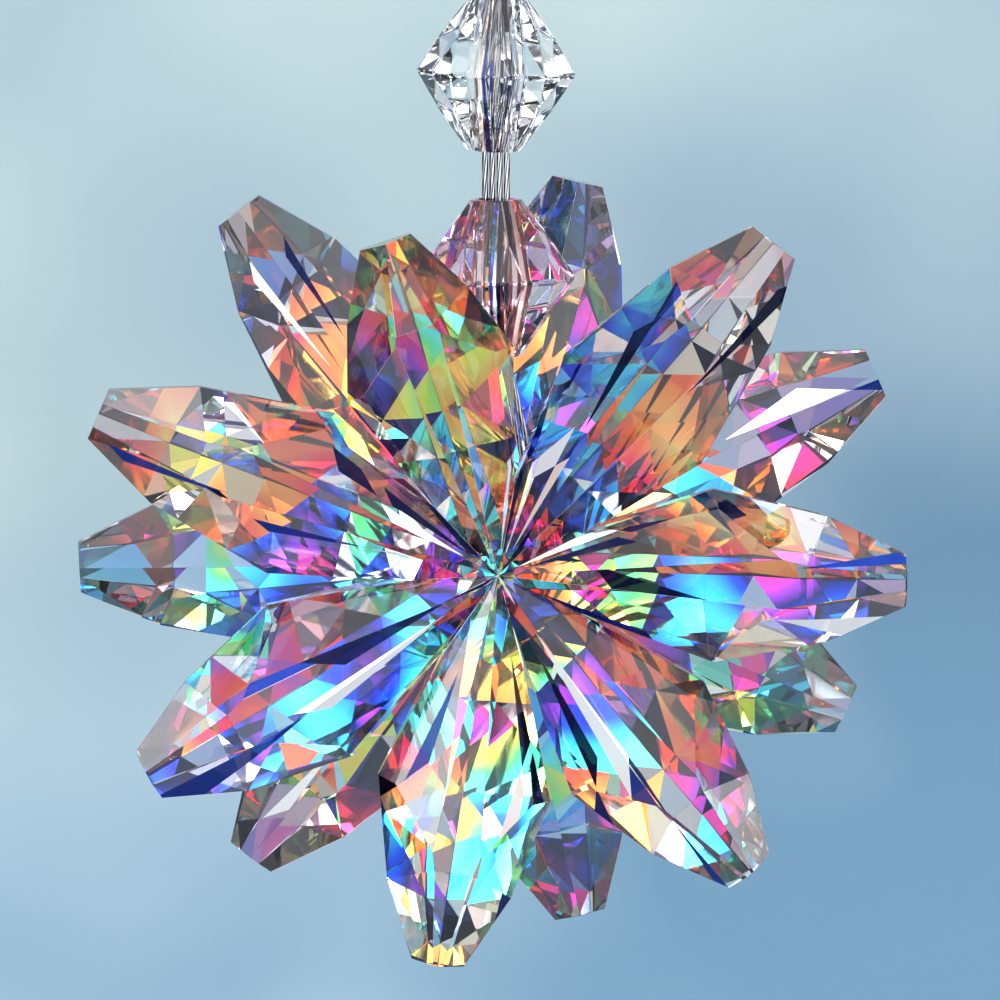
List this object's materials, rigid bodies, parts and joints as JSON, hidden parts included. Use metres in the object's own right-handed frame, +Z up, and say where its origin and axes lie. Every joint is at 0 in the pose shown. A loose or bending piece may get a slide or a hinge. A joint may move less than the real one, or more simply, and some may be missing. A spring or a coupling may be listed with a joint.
{
  "type": "crystal suncatcher",
  "caption": "Hanging cut-crystal ornament: a double faceted star opening like a flower below bicone beads, on a wire that ends in a loop.",
  "frame": {"origin": "inside of the top of the hanging eye, where a hook bears", "axes": "+Z up, along the wires; -Y towards the viewer, out of the front star; +X to the viewer's right"},
  "size_m": [0.0412, 0.019, 0.0611],
  "materials": {
    "star_crystal": "polished, with an iridescent coating",
    "bead_crystal": "polished, with a faint iridescent coating",
    "wire_steel": "bright drawn",
    "crimp_silver": "plated, pressed flat"
  },
  "bodies": {
    "root": {"front_star": "star_crystal", "back_star": "star_crystal", "lower_bead": "bead_crystal", "upper_bead": "bead_crystal", "inner_wire": "wire_steel", "outer_wire": "wire_steel", "crimp_tube": "crimp_silver"}
  },
  "joints": []
}
